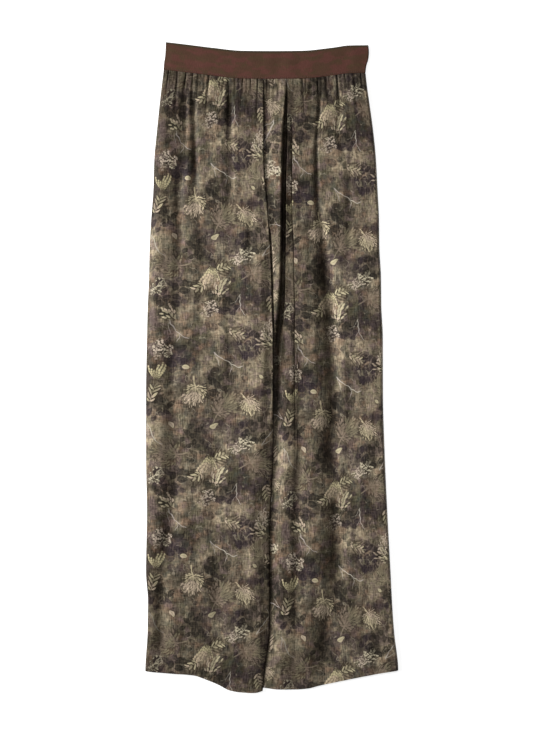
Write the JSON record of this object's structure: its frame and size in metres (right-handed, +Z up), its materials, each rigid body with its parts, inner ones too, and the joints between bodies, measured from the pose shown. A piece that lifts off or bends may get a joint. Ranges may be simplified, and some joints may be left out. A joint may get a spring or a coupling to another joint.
{
  "type": "straight-leg trousers",
  "caption": "Full-length straight-leg trousers in printed satin, gathered onto a flat ribbon waistband, laid flat on their back.",
  "frame": {"origin": "middle of the outline's bounding box, on the surface that the trousers lie on", "axes": "+Z up from that surface, +Y towards the waist, +X towards the wearer's left leg"},
  "size_m": [0.43, 1.105, 0.0075],
  "materials": {
    "printed_satin": "soft satin, printed with leaves and sprigs in beige and dark grey on a mottled khaki ground",
    "ribbon": "matt, finely ribbed brown ribbon"
  },
  "bodies": {
    "root": {"waistband_front": "ribbon", "waistband_back": "ribbon", "front_leg_right": "printed_satin", "front_leg_left": "printed_satin", "back_leg_right": "printed_satin", "back_leg_left": "printed_satin"}
  },
  "joints": []
}
